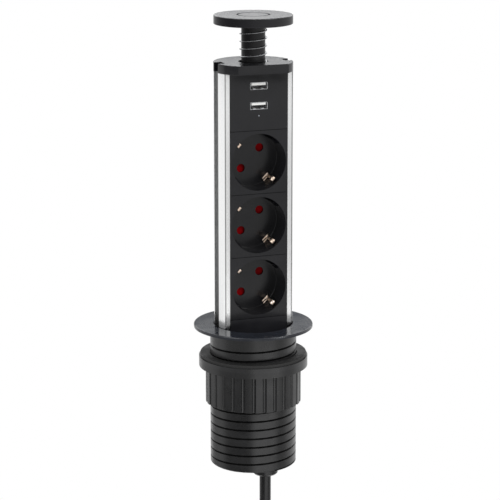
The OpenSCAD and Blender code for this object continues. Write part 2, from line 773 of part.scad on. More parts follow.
// Busbar with a U-shaped contact at each socket. The neutral one is turned by half a turn.
module pin_contact() {
  inner_x = pin_x - pin_hole_r - strip_t;
  bridge_z = pin_x - leaf_half;
  slab([inner_x, inner_x + strip_t], [bar_front, bar_back], [bridge_z - strip_t, pin_x + leaf_half]);
  slab([inner_x, leaf_x + strip_t], [bar_front, bar_back], [bridge_z - strip_t, bridge_z]);
}
module busbar_strip() {
  slab([leaf_x, leaf_x + strip_t], [bar_front, bar_back], [bar_z, tab_z + tab_h]);
  slab([leaf_x, leaf_x + strip_t], [board_back, bar_back], [tab_z, tab_z + tab_h]);
}
module live_busbar() color("#b5893f") {
  busbar_strip();
  for (i = [0:2]) translate([0, 0, socket_z(i)]) pin_contact();
}
module neutral_busbar() color("#b5893f") {
  mirror([1, 0, 0]) busbar_strip();
  for (i = [0:2]) translate([0, 0, socket_z(i)]) rotate([0, 180, 0]) pin_contact();
}
module earth_busbar() color("#b5893f")
  slab([-earth_half, earth_half], [yoke_back, yoke_back + strip_t], [bar_z, socket_z(2) + earth_half]);

// Terminals where the cord's cores meet the busbars
module at_terminals() {
  for (x = [-terminal_x, 0, terminal_x]) translate([x, 0, terminal_z]) children();
}
module terminal_block() color("#e6e2d6") difference() {
  union() {
    slab([-block_half, block_half], [block_y, block_back], [block_z, block_z + block_h]);
    slab([-block_wing, block_wing], [block_y, block_y + block_wing_t], [block_z, block_z + block_h]);
  }
  both_sides() slab(
    [leaf_x - fit, leaf_x + strip_t + fit], [bar_front - fit, bar_back + fit],
    [bar_z - fit, block_z + block_h + cut]
  );
  slab(
    [-earth_half - fit, earth_half + fit], [yoke_back - fit, yoke_back + strip_t + fit],
    [bar_z - fit, block_z + block_h + cut]
  );
  at_terminals() {
    rod_y(terminal_screw_r + fit, block_y - cut, terminal_y);
    rod_y(terminal_head_r + fit, block_y - cut, block_y + terminal_head_t + fit);
    translate([0, terminal_y + core_r, 0]) rod_z(core_r + fit, block_z - terminal_z - cut, 2);
  }
}
module terminal_screws() color("#b9bcc0") at_terminals() {
  rod_y(terminal_screw_r, block_y + fit, terminal_y - fit);
  rod_y(terminal_head_r, block_y + fit, block_y + terminal_head_t);
}
core_y = terminal_y + core_r;
core_ring = 1.8;
module live_wire() color("#6b4226") tube(core_route(terminal_x, core_y, core_ring, 0), core_r, 8);
module neutral_wire() color("#2f5f9f")
  tube(core_route(-terminal_x, core_y, -core_ring / 2, core_ring * sqrt(0.75)), core_r, 8);
module earth_wire() color("#7aa436")
  tube(core_route(0, core_y, -core_ring / 2, -core_ring * sqrt(0.75)), core_r, 8);

// Base with the stop lugs that meet the guide keys, and the gland
module base_cap() color("#2c2c2e") difference() {
  union() {
    translate([0, 0, base_z]) linear_extrude(base_t) difference() {
      tower_outline();
      guide_box(guide_floor, guide_w / 2 + fit);
    }
    both_sides() {
      half = guide_w / 2 - guide_gap;
      slab([guide_floor + fit, tower_r - 0.4], [-half, half], [base_z, key_z - 0.3]);
      slab([guide_floor - wall, guide_floor + cut], [-half, half], [base_z, base_z + base_t]);
      slab([post_x, guide_wall_x - fit], [-post_half, post_half], [base_z + base_t / 2, key_z - 1]);
    }
  }
  translate([gland_x, 0, 0]) rod_z(shank_r + fit, base_z - cut, profile_z + cut);
  both_sides() translate([0, 0, base_screw_z]) {
    rod_x(base_screw_r + fit, post_x - cut, tower_r);
    rod_x(base_screw_head_r + fit, tower_r - 0.6 - base_screw_head_t - fit, tower_r + cut);
  }
}
module base_screws() color("#b9bcc0") both_sides() translate([0, 0, base_screw_z]) {
  head_x = tower_r - 0.6;
  rod_x(base_screw_r, post_x, head_x - fit);
  rod_x(base_screw_head_r, head_x - base_screw_head_t, head_x);
}
module cable_gland() color("#464648") translate([gland_x, 0, 0]) rotate_extrude() polygon([
  [cord_r + fit, gland_z], [gland_r - gland_chamfer, gland_z], [gland_r, gland_z + gland_chamfer],
  [gland_r, base_z], [shank_r, base_z], [shank_r, shank_z], [cord_r + fit, shank_z]
]);
module gland_nut() color("#464648") translate([gland_x, 0, 0]) difference() {
  translate([0, 0, profile_z]) cylinder(r = gland_nut_r, h = gland_nut_h, $fn = 6);
  rod_z(shank_r + fit / 2, profile_z - cut, profile_z + gland_nut_h + cut);
}
module cord_sheath() color("#202022") translate([gland_x, 0, 0]) rod_z(cord_r, gland_z, sheath_z);

// Knob on its sprung stem
module knob_disc() color("#333335") difference() {
  rounded_disc(disc_r, disc_z, disc_top, disc_edge);
  rod_z(inlay_r + inlay_gap, disc_top - inlay_t, disc_top + cut);
  rod_z(screw_head_r + fit, disc_top - inlay_t - screw_head_t - fit, disc_top);
  rod_z(screw_r + fit, disc_z - cut, disc_top);
}
module knob_inlay() color("#333335") rounded_disc(inlay_r, disc_top - inlay_t, disc_top, inlay_gap / 2);
module knob_screw() color("#b9bcc0") {
  head_z = disc_top - inlay_t - screw_head_t;
  rod_z(screw_head_r, head_z, disc_top - inlay_t - fit);
  rod_z(screw_r, disc_z - screw_len, head_z + fit);
}
module knob_stem() color("#232325") difference() {
  rod_z(stem_r, tongue_z, disc_z);
  slab([-2 * stem_r, 2 * stem_r], [-2 * stem_r, tongue_front], [tongue_z - cut, tongue_top]);
  slab(
    [-2 * stem_r, 2 * stem_r], [clip_y - fit / 2, clip_y + clip_d + fit / 2],
    [clip_z - fit / 2, clip_z + clip_t + fit / 2]
  );
  rod_z(screw_r + fit / 2, disc_z - screw_len - fit, disc_z + cut);
}
module stem_clip() color("#b9bcc0") {
  slab([-clip_half, clip_half], [clip_y, clip_y + clip_d], [clip_z, clip_z + clip_t]);
}
module knob_spring() color("#b0b2b5") {
  path = spring_path(round(spring_rings * spring_turns));
  skin([for (i = [0:len(path) - 1]) ring(path[i], tangent(path, i), [path[i][0], path[i][1], 0], wire_r, 6)]);
}

// Mains cord with its hank, tie and plug
module cord_lead() color("#202022") tube(lead_route, cord_r, 10);
module cord_hank() color("#202022") tube(hank_path(24), cord_r, 6);
module cord_tail() color("#202022") tube(tail_route, cord_r, 10);
module tie_outline(grow) {
  // The runs are widest at the tie's upper or lower edge
  part = 0.15 * tie_h / (2 * hank_half);
  reach = cord_r + tie_gap + grow - waist(tie_h / 2);
  half_in = hank_r(hank_turns - 0.15 + part) + reach;
  half_out = hank_r(hank_turns - 0.65 + part) + reach;
  low = -cord_r - tie_gap - grow;
  high = hank_layer + cord_r + tie_gap + grow;
  corner = tie_corner + grow;
  translate([-half_out + corner, low]) square([half_in + half_out - 2 * corner, high - low]);
  translate([-half_out, low + corner]) square([half_in + half_out, high - low - 2 * corner]);
  for (x = [-half_out + corner, half_in - corner], y = [low + corner, high - corner])
    translate([x, y]) circle(r = corner);
}
module hank_tie() color("#1a1a1a") translate([hank_x, 0, hank_z - tie_h / 2]) linear_extrude(tie_h)
  difference() {
    tie_outline(tie_t);
    tie_outline(0);
  }
module on_plug() {
  translate([tail_x, hank_layer, 0]) children();
}
module plug_body() color("#242426") on_plug() difference() {
  rotate_extrude() polygon([
    [0, tail_end], [relief_r, tail_end], [relief_r + 1.8, plug_waist], [plug_grip_r, plug_waist - 3],
    [plug_grip_r - 0.8, plug_waist - 11], [plug_grip_r + 1.5, plug_shoulder], [plug_r - 1, plug_shoulder - 3],
    [plug_r, plug_shoulder - 5], [plug_r, plug_face + 1], [plug_r - 1, plug_face], [0, plug_face]
  ]);
  notch_z = [plug_face - cut, plug_shoulder - 3];
  both_sides() slab([plug_r - 2, plug_r + cut], [-2.6, 2.6], notch_z);
  rotate([0, 0, 90]) both_sides() slab([plug_r - 1.6, plug_r + cut], [-2.3, 2.3], notch_z);
  both_sides() translate([pin_pitch / 2, 0, 0]) rod_z(plug_pin_r + fit, plug_face - cut, plug_face + 8);
}
module plug_pins() color("#c9cbcd") on_plug() both_sides() translate([pin_pitch / 2, 0, 0]) {
  rod_z(plug_pin_r, plug_face - plug_pin_len + plug_pin_r, plug_face + 8 - fit);
  translate([0, 0, plug_face - plug_pin_len + plug_pin_r]) sphere(r = plug_pin_r);
}
module plug_earth() color("#b88a4a") on_plug() rotate([0, 0, 90]) both_sides()
  slab([plug_r - 1.6, plug_r - 0.7], [-2, 2], [plug_face, plug_shoulder - 3.2]);

flange_ring();
threaded_sleeve();
friction_ring();
guide_keys();
desk_gasket();
slip_washer();
clamp_nut();
tower_profile();
tower_cap();
rear_liner();
lower_panel();
usb_faceplate();
usb_shells();
usb_tongues();
usb_contacts();
status_led();
charger_board();
charger_transformer();
charger_capacitors();
socket_face_top();
socket_face_middle();
socket_face_bottom();
contact_carrier_top();
contact_carrier_middle();
contact_carrier_bottom();
earth_strap_top();
earth_strap_middle();
earth_strap_bottom();
shutter_top();
shutter_middle();
shutter_bottom();
live_busbar();
neutral_busbar();
earth_busbar();
terminal_block();
terminal_screws();
live_wire();
neutral_wire();
earth_wire();
base_cap();
base_screws();
cable_gland();
gland_nut();
cord_sheath();
knob_disc();
knob_inlay();
knob_screw();
knob_stem();
stem_clip();
knob_spring();
cord_lead();
cord_hank();
cord_tail();
hank_tie();
plug_body();
plug_pins();
plug_earth();
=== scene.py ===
"""Pop up socket tower: camera, cord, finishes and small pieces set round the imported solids.

The scene is in metres, +Z up. The flange's seat is at Z = 0 and the sockets face -Y.
Sizes and places of the small pieces are written in millimetres.
"""
import math

import bmesh
import bpy
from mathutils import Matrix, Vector


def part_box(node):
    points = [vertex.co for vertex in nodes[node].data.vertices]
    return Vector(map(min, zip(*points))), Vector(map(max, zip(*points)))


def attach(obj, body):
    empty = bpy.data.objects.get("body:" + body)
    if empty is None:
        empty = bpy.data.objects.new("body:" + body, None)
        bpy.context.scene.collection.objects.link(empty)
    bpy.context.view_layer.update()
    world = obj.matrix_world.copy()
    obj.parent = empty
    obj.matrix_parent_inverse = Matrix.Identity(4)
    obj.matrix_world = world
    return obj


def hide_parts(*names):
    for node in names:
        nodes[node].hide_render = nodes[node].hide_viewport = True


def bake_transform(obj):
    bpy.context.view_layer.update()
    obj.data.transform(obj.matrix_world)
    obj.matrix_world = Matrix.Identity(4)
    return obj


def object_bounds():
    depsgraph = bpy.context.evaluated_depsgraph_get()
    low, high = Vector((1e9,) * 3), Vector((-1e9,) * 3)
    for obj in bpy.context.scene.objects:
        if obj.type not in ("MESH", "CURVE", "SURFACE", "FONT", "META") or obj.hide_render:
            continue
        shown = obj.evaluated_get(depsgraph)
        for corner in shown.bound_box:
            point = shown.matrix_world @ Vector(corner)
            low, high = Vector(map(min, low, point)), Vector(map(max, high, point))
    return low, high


MM = 0.001
RIGHT, INWARD, UP = Vector((1.0, 0.0, 0.0)), Vector((0.0, 1.0, 0.0)), Vector((0.0, 0.0, 1.0))
# Sides of a smooth round piece, and the radius at which a closed end meets its axis
ROUND_SIDES, AXIS_R = 96, 0.01

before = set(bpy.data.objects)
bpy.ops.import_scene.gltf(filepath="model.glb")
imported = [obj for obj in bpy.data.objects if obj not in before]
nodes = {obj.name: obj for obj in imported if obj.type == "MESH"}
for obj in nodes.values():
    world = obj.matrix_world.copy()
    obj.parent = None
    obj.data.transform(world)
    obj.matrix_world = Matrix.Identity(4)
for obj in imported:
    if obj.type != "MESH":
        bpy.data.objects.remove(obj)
cad_box = [list(corner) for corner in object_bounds()]
scene = bpy.context.scene
scene.view_settings.view_transform = "Standard"


def link(obj):
    """Puts an object into the scene."""
    scene.collection.objects.link(obj)
    return obj


def smooth(share):
    """A share from 0 to 1 that starts and ends gently."""
    return share * share * (3.0 - 2.0 * share)


def held(value):
    """A value kept from 0 to 1."""
    return min(1.0, max(0.0, value))


def turns_round(sides):
    """Even steps round a circle, in radians."""
    return [2 * math.pi * k / sides for k in range(sides)]


# Camera
CAMERA_AT = (-0.4636, -1.2600, 0.3742)
CAMERA_TILT, CAMERA_TURN = 76.5534, -20.2
SENSOR_WIDTH, FOCAL_LENGTH, LENS_SHIFT, NEAREST_SEEN = 36.0, 145.32, -0.0064, 0.05


def add_camera():
    """The photograph's view: 13 degrees down, from 20 degrees to the left of the front."""
    lens = bpy.data.cameras.new("studio_camera")
    lens.sensor_width = SENSOR_WIDTH
    lens.lens = FOCAL_LENGTH
    lens.shift_x = LENS_SHIFT
    lens.clip_start = NEAREST_SEEN
    camera = link(bpy.data.objects.new("studio_camera", lens))
    camera.location = CAMERA_AT
    camera.rotation_euler = (math.radians(CAMERA_TILT), 0.0, math.radians(CAMERA_TURN))
    scene.camera = camera


add_camera()


# Mains cord
CORD_R = 4.0
LEAD_X = 9.0
# Heights along the lead, from the gland down, and along the tail, down to the plug
LEAD = (-108.8, -113.0, -120.0, -130.0, -140.0, -150.0, -160.0, -168.0, -176.0)
TAIL = (-318.0, -324.0, -330.0, -336.0)
# The hank's half run, its smallest fold's radius, growth a turn, drawn in waist and step between its layers
HANK_HALF, HANK_FOLD, HANK_STEP, HANK_WAIST, HANK_LAYER = 60.0, 24.5, 10.2, 16.0, 8.8
# Turns in all, the turn that ends the first layer and the one that starts the second
HANK_TURNS, HANK_IN, HANK_OUT = 3.3, 1.5, 1.8
HANK_X, HANK_Z = -30.8, -244.0
# Shares of a turn in one run and in one fold, steps in a turn, and how far the end stops short
RUN_SHARE, FOLD_SHARE = 0.3, 0.2
HANK_STEPS, HANK_SHORT = 150, 0.0001


def hank_radius(turn):
    """The folds grow smaller through the first layer and larger through the second."""
    if turn < HANK_IN:
        return HANK_FOLD + HANK_STEP * (HANK_IN - turn)
    return HANK_FOLD + HANK_STEP * max(0.0, turn - HANK_OUT)


def hank_depth(turn):
    """The cord crosses from the first layer to the second where the folds are smallest."""
    return HANK_LAYER * smooth(held((turn - HANK_IN) / (HANK_OUT - HANK_IN)))


def hank_waist(height):
    """How far a run is drawn in by the strap."""
    return HANK_WAIST * math.cos(math.pi / 2 * height / HANK_HALF) ** 2


def hank_point(turn):
    """One turn is a run down, a fold, a run up and a fold."""
    half_turn = RUN_SHARE + FOLD_SHARE
    part, r = turn - math.floor(turn), hank_radius(turn)
    side, way = (1.0, part) if part < half_turn else (-1.0, part - half_turn)
    if way < RUN_SHARE:
        z = HANK_HALF * (1.0 - 2.0 * way / RUN_SHARE)
        x = r - hank_waist(z)
    else:
        a = math.pi * (way - RUN_SHARE) / FOLD_SHARE
        x, z = r * math.cos(a), -HANK_HALF - r * math.sin(a)
    return (HANK_X + side * x, hank_depth(turn), HANK_Z + side * z)


def cord_route():
    """The lead down from the gland, the hank, and the tail down to the plug."""
    count = round(HANK_TURNS * HANK_STEPS)
    last = hank_point(HANK_TURNS - HANK_SHORT)
    route = [(LEAD_X, 0.0, z) for z in LEAD]
    route += [hank_point(HANK_TURNS * i / count) for i in range(count)] + [last]
    route += [(last[0], last[1], last[2] - 2 * CORD_R)] + [(last[0], last[1], z) for z in TAIL]
    return [Vector(p) * MM for p in route]


def add_cord():
    """One open curve from the gland through the hank to the plug."""
    curve = bpy.data.curves.new("mains_cord", "CURVE")
    curve.dimensions = "3D"
    curve.bevel_depth = CORD_R * MM
    curve.bevel_resolution = 6
    curve.use_fill_caps = True
    route = cord_route()
    line = curve.splines.new("POLY")
    line.points.add(len(route) - 1)
    for point, at in zip(line.points, route):
        point.co = (*at, 1.0)
    line.use_smooth = True
    return link(bpy.data.objects.new("mains_cord", curve))


# Mesh makers
def new_mesh(name, corners, faces, smooth_angle=None):
    """A mesh object from corners in millimetres. Edges sharper than the angle stay sharp."""
    mesh = bpy.data.meshes.new(name)
    mesh.from_pydata([Vector(c) * MM for c in corners], [], faces)
    shape = bmesh.new()
    shape.from_mesh(mesh)
    bmesh.ops.recalc_face_normals(shape, faces=shape.faces)
    shape.to_mesh(mesh)
    shape.free()
    if smooth_angle is not None:
        mesh.shade_smooth()
        mesh.set_sharp_from_angle(angle=math.radians(smooth_angle))
    return link(bpy.data.objects.new(name, mesh))


def loft(name, rings, smooth_angle=35.0):
    """A closed skin over rings that have the same number of corners."""
    sides = len(rings[0])
    corners = [c for ring in rings for c in ring]
    faces = []
    for i in range(len(rings) - 1):
        for k in range(sides):
            a, b = i * sides + k, i * sides + (k + 1) % sides
            faces.append((a, b, b + sides, a + sides))
    faces.append(tuple(range(sides)))
    faces.append(tuple(range(len(corners) - sides, len(corners))))
    return new_mesh(name, corners, faces, smooth_angle)


def tube(name, path, radius, sides):
    """A round tube along a path in millimetres."""
    rings = []
    for i, at in enumerate(path):
        ahead = path[min(i + 1, len(path) - 1)] - path[max(i - 1, 0)]
        ahead.normalize()
        across = (UP - UP.dot(ahead) * ahead).normalized()
        over = ahead.cross(across)
        rings.append([at + radius * (math.cos(t) * across + math.sin(t) * over) for t in turns_round(sides)])
    return loft(name, rings)


def joined(name, pieces):
    """One object from several closed skins."""
    shape = bmesh.new()
    for piece in pieces:
        skin = piece.data
        shape.from_mesh(skin)
        bpy.data.objects.remove(piece)
        bpy.data.meshes.remove(skin)
    mesh = bpy.data.meshes.new(name)
    shape.to_mesh(mesh)
    shape.free()
    return link(bpy.data.objects.new(name, mesh))


# Greatest ease on a bar's edges, and its greatest share of the bar's thinner half
BAR_EASE, BAR_EASE_SHARE = 0.18, 0.35


def soft_bar(name, frames):
    """A bar with eased edges over the frames: middle, half width along u, half height along v, u, v."""
    rings = []
    for middle, wide, high, u, v in frames:
        ease = min(BAR_EASE_SHARE * min(wide, high), BAR_EASE)
        ring = []
        for a, b in ((1, 1), (-1, 1), (-1, -1), (1, -1)):
            for over, side in ((0.0, ease), (ease, 0.0))[::a * b]:
                ring.append(Vector(middle) + a * (wide - over) * u + b * (high - side) * v)
        rings.append(ring)
    return loft(name, rings, smooth_angle=50.0)


# Painted shade in the thread's groove: a dark ribbon at the thread's root
THREAD_PITCH, THREAD_START, THREAD_TURNS = 6.14, -108.0, 14.2
# Depth of the ribbon below the thread's crest, its half width, its thickness and the turn it starts at
ROOT_DEPTH, ROOT_HALF, ROOT_T, ROOT_FROM = 0.2, 0.42, 0.15, 0.08
ROOT_STEPS = 72


def add_thread_groove_shade():
    """A thin ribbon down in the sleeve's thread groove, near black and barely reflecting: painted shade for
    the groove.
    """
    low, high = [[v / MM for v in corner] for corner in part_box("threaded_sleeve")]
    outer = high[0] - ROOT_DEPTH
    inner = outer - ROOT_T
    section = ((outer, -ROOT_HALF), (outer, ROOT_HALF), (inner, ROOT_HALF), (inner, -ROOT_HALF))
    steps = round(THREAD_TURNS * ROOT_STEPS)
    rings = []
    for i in range(steps + 1):
        turn = ROOT_FROM + (THREAD_TURNS - ROOT_FROM) * i / steps
        a = math.radians(THREAD_START + 360.0 * turn)
        z = low[2] + THREAD_PITCH * turn
        rings.append([(r * math.cos(a), r * math.sin(a), z + rise) for r, rise in section])
    return loft("thread_groove_shade", rings)


# Knob spring
SPRING_TURNS, SPRING_R, WIRE_R = 5.7, 8.89, 0.45
SPRING_LOW, SPRING_HIGH = 178.4, 208.4
# Turns over which the wire eases out of its flat start
DEAD_TURNS = 1.6
SPRING_STEPS, WIRE_SIDES = 240, 10


def add_spring():
    """A wire coil whose lowest turn is wound flat and lies down in the cap."""
    pitch = (SPRING_HIGH - SPRING_LOW - 2 * WIRE_R) / SPRING_TURNS
    path = []
    for i in range(SPRING_STEPS + 1):
        turn = SPRING_TURNS * i / SPRING_STEPS
        flat = min(1.0, turn / DEAD_TURNS)
        climb = DEAD_TURNS * flat * flat * (2.0 - flat) + max(0.0, turn - DEAD_TURNS)
        a = 2 * math.pi * turn
        height = SPRING_LOW + WIRE_R + pitch * climb
        path.append(Vector((SPRING_R * math.cos(a), SPRING_R * math.sin(a), height)))
    return tube("knob_coil", path, WIRE_R, WIRE_SIDES)


# Earth clips
# Heights of the sockets' axes, and the depth of their floors
SOCKETS = {"top": 116.25, "middle": 72.95, "bottom": 29.65}
FLOOR_Y = 6.3
STRIP_T = 0.8
# One prong from its rolled tip to the yoke: distance from the socket's axis, depth, width and lean
PRONG = [
    (18.8, -6.3, 1.8, -1.0), (18.4, -7.3, 2.5, -1.0), (17.6, -7.9, 2.9, -1.0), (16.6, -7.6, 3.0, -1.0),
    (16.0, -6.6, 3.0, -1.0), (16.2, -5.4, 3.0, -1.0), (17.0, -4.2, 2.8, -0.9), (17.9, -3.0, 2.4, -0.7),
    (18.3, -1.4, 2.2, -0.5), (18.4, 1.0, 2.2, -0.3), (18.4, 3.4, 2.2, -0.3), (18.1, 4.8, 2.4, -0.3),
    (17.5, 5.7, 3.0, -0.3), (17.2, 6.6, 3.6, -0.3), (17.2, 9.0, 3.6, -0.3), (17.2, 13.0, 3.6, -0.2),
    (17.2, 17.4, 3.8, 0.0), (17.0, 18.6, 3.8, 0.0), (16.4, 19.2, 3.8, 0.0), (15.4, 19.3, 3.8, 0.0),
]
# Bars of the clip's foot, on the socket's floor: reach and offset of the middle, half length, half width
FOOT_BARS = [(16.9, -1.7, 2.5, 0.42), (18.5, -3.1, 1.6, 0.3)]
FOOT_T, FOOT_TILT, FOOT_GAP = 0.5, math.radians(24.0), 0.1


def eased(points, steps=4):
    """More points on a smooth line through the given ones."""
    ends = [points[0]] + points + [points[-1]]
    line = []
    for i in range(1, len(ends) - 2):
        a, b, c, d = (Vector(p) for p in ends[i - 1:i + 3])
        for k in range(steps):
            t = k / steps
            line.append(0.5 * (2 * b + (c - a) * t + (2 * a - 5 * b + 4 * c - d) * t * t
                               + (3 * b - a - 3 * c + d) * t ** 3))
    return line + [Vector(points[-1])]


def add_earth_clip(level, height):
    """A bent brass strip: two sprung prongs in the recess, their feet and the yoke behind the socket."""
    right = eased(PRONG)
    line = right + [Vector((-p[0], p[1], p[2], p[3])) for p in reversed(right)]
    diagonal = math.sqrt(0.5)
    outward, across = diagonal * (RIGHT - UP), diagonal * (RIGHT + UP)
    axis = height * UP
    frames = []
    for i, (reach, depth, width, lean) in enumerate(line):
        ahead = line[min(i + 1, len(line) - 1)] - line[max(i - 1, 0)]
        face = (ahead[1] * outward - ahead[0] * INWARD).normalized()
        middle = axis + reach * outward + depth * INWARD + lean * across
        frames.append((middle, STRIP_T / 2, width / 2, face, across))
    skins = [soft_bar("strip", frames)]
    for side in (1, -1):
        slope = math.cos(FOOT_TILT) * side * outward - math.sin(FOOT_TILT) * INWARD
        face = -math.cos(FOOT_TILT) * INWARD - math.sin(FOOT_TILT) * side * outward
        for reach, offset, half_length, half_width in FOOT_BARS:
            lift = FOOT_GAP + math.cos(FOOT_TILT) * FOOT_T / 2 + math.sin(FOOT_TILT) * half_width
            foot = axis + side * (reach * outward + offset * across) + (FLOOR_Y - lift) * INWARD
            run = half_length * across
            ends = [(end, half_width, FOOT_T / 2, slope, face) for end in (foot - run, foot + run)]
            skins.append(soft_bar("foot", ends))
    return joined("earth_clip_" + level, skins)


# Charger ports
PORTS = {"upper": 168.0, "lower": 154.65}
PORT_FRONT, PORT_BACK = -11.15, 2.3
PORT_HALF_W, PORT_HALF_H, SHEET, HEM = 6.18, 2.48, 0.3, 0.12
# Corner radii outside, on the hem and inside
PORT_ROUND, HEM_ROUND, INNER_ROUND = 0.5, 0.4, 0.25
CORNER_STEPS, TAB_STEPS = 4, 12
TAB_X, TAB_HALF_W, TAB_START, TAB_LENGTH, TAB_RISE = 2.9, 0.9, 0.9, 5.0, 0.55
# The tongue's lower and upper face above the port's middle, its front and its half width
TONGUE, TONGUE_FRONT, TONGUE_HALF_W = (0.34, 2.17), -10.5, 5.05
TIP_BEVEL, TIP_TAPER, TONGUE_GAP = 0.12, 0.15, 0.05


def rounded_frame(half_w, half_h, r, y, z):
    """Corners of an upright rounded rectangle."""
    corners = []
    for k in range(4):
        cx, cz = (half_w - r) * (1, -1, -1, 1)[k], (half_h - r) * (1, 1, -1, -1)[k]
        for i in range(CORNER_STEPS + 1):
            a = math.pi / 2 * (k + i / CORNER_STEPS)
            corners.append((cx + r * math.cos(a), y, z + cz + r * math.sin(a)))
    return corners


def add_port_shell(which, height):
    """A folded sheet shell with a rounded mouth and two sprung tabs in its floor."""
    folds = [
        (SHEET, INNER_ROUND, PORT_BACK - SHEET), (SHEET, INNER_ROUND, PORT_FRONT + HEM),
        (SHEET - HEM, HEM_ROUND, PORT_FRONT), (HEM / 2, PORT_ROUND, PORT_FRONT),
        (0.0, PORT_ROUND, PORT_FRONT + HEM), (0.0, PORT_ROUND, PORT_BACK),
    ]
    rings = [rounded_frame(PORT_HALF_W - inset, PORT_HALF_H - inset, r, y, height) for inset, r, y in folds]
    skins = [loft("shell", rings, smooth_angle=40.0)]
    low = height - PORT_HALF_H + SHEET
    for x in (-TAB_X, TAB_X):
        frames = []
        for i in range(TAB_STEPS + 1):
            share = i / TAB_STEPS
            rise = TAB_RISE * math.sin(math.pi * share) ** 2
            at = (x, PORT_FRONT + TAB_START + TAB_LENGTH * share, low + SHEET / 2 + rise)
            frames.append((at, TAB_HALF_W, SHEET / 2, RIGHT, UP))
        skins.append(soft_bar("tab", frames))
    return joined("port_shell_" + which, skins)


def add_tongue(which, height):
    """The white tongue in a port, with a bevelled tip."""
    low, high = height + TONGUE[0], height + TONGUE[1]
    middle, half = (low + high) / 2, (high - low) / 2
    frames = [((0.0, TONGUE_FRONT, middle), TONGUE_HALF_W - TIP_TAPER, half - TIP_BEVEL, RIGHT, UP),
              ((0.0, TONGUE_FRONT + TIP_BEVEL, middle), TONGUE_HALF_W, half, RIGHT, UP),
              ((0.0, PORT_BACK - SHEET - TONGUE_GAP, middle), TONGUE_HALF_W, half, RIGHT, UP)]
    return soft_bar("port_tongue_" + which, frames)


# Knob's inlay
# Half section of the plate in the disc, with a rabbet round its upper edge
INLAY_SECTION = [
    (AXIS_R, 213.2), (10.7, 213.2), (10.8, 213.3), (10.8, 213.8), (10.75, 213.85), (10.12, 213.85),
    (10.05, 213.92), (10.05, 214.3), (10.02, 214.37), (9.95, 214.4), (AXIS_R, 214.4),
]


def add_inlay():
    """The round plate in the disc."""
    turns = turns_round(ROUND_SIDES)
    rings = [[(r * math.cos(t), r * math.sin(t), z) for t in turns] for r, z in INLAY_SECTION]
    return loft("knob_plate", rings, smooth_angle=12.0)


# Plug
PLUG_X, PLUG_Y = LEAD_X, HANK_LAYER
PLUG_R = 18.5
# Half section of the strain relief's upper end, and of the plug below the ribs
RELIEF_TOP = [(AXIS_R, -336.0), (4.9, -336.0), (5.2, -336.5), (5.3, -338.5)]
GRIP = [
    (7.0, -360.0), (10.6, -361.6), (11.3, -362.5), (11.5, -364.0), (11.1, -368.0), (10.9, -371.0),
    (11.2, -375.0), (12.0, -379.0), (13.0, -381.6), (14.2, -382.7), (16.6, -384.2), (17.7, -385.2),
    (18.3, -386.4), (PLUG_R, -388.0), (PLUG_R, -395.6), (18.3, -396.4), (17.6, -396.9), (16.4, -397.0),
    (15.6, -396.6), (AXIS_R, -396.6),
]
# Radii of the grooves between the ribs, height of the first one, and the ribs' sizes
GROOVE_RADII, FIRST_GROOVE, GROOVE_H = (4.5, 4.8, 5.1, 5.5), -338.9, 1.0
RIB_PITCH, RIB_EASE, RIB_R, RIB_GROWTH, RIB_TAPER = 4.5, 0.4, 5.6, 0.4, 0.2
# Depth and half angle of the notches at the sides and at the earth contacts
SIDE_NOTCH, EARTH_NOTCH = (2.0, 8.0), (1.6, 7.1)
NOTCH_TOP, NOTCH_INNER_R, NOTCH_RAMP, NOTCH_CLEAR = -385.0, 15.0, 0.3, 8.5
PLUG_STEP = 6


def plug_section():
    """Half section of the plug, from the cord down to its face. The last rib runs on to the grip."""
    line = list(RELIEF_TOP)
    for k, groove_r in enumerate(GROOVE_RADII):
        z, rib_r = FIRST_GROOVE - RIB_PITCH * k, RIB_R + RIB_GROWTH * k
        line += [(groove_r, z), (groove_r, z - GROOVE_H), (rib_r, z - GROOVE_H - RIB_EASE),
                 (rib_r + RIB_TAPER, z - RIB_PITCH + RIB_EASE)]
    return line[:-1] + GRIP


def plug_angles():
    """Angles round the plug, in degrees, and the notch's depth at each."""
    angles = [(a, 0.0) for a in range(0, 360, PLUG_STEP) if min(a % 90, 90 - a % 90) > NOTCH_CLEAR]
    for centre in range(0, 360, 90):
        depth, half = SIDE_NOTCH if centre % 180 == 0 else EARTH_NOTCH
        angles += [(centre + half, 0.0), (centre - half, 0.0)]
        angles += [(centre + d, depth) for d in (NOTCH_RAMP - half, 0.0, half - NOTCH_RAMP)]
    return sorted((a % 360, depth) for a, depth in angles)


def add_plug():
    """A moulded two pin plug with a ribbed strain relief and side notches."""
    around = plug_angles()
    rings = []
    for r, z in plug_section():
        notched = z < NOTCH_TOP and r > NOTCH_INNER_R
        ring = []
        for a, depth in around:
            reach = min(r, PLUG_R - depth) if notched else r
            turn = math.radians(a)
            ring.append((PLUG_X + reach * math.cos(turn), PLUG_Y + reach * math.sin(turn), z))
        rings.append(ring)
    return loft("moulded_plug", rings, smooth_angle=28.0)


# Strap
STRAP_T, STRAP_H, STRAP_CORNER, STRAP_EDGE = 1.2, 14.0, 5.2, 0.25
# Shares of the way round: start, whole length, where the end begins to lift, and the length of that ramp
STRAP_START, STRAP_WAY, LAP_FROM, LAP_RAMP = 0.03, 1.22, 0.93, 0.06
# Lift of the lapped end, in thicknesses
LAP_LIFT = 1.05
STRAP_STEPS = 160
# Section of the strap: depth below its outer face, and height
STRAP_SECTION = (
    (-STRAP_T, STRAP_EDGE), (-STRAP_T + STRAP_EDGE, 0.0), (-STRAP_EDGE, 0.0), (0.0, STRAP_EDGE),
    (0.0, STRAP_H - STRAP_EDGE), (-STRAP_EDGE, STRAP_H), (-STRAP_T + STRAP_EDGE, STRAP_H),
    (-STRAP_T, STRAP_H - STRAP_EDGE),
)


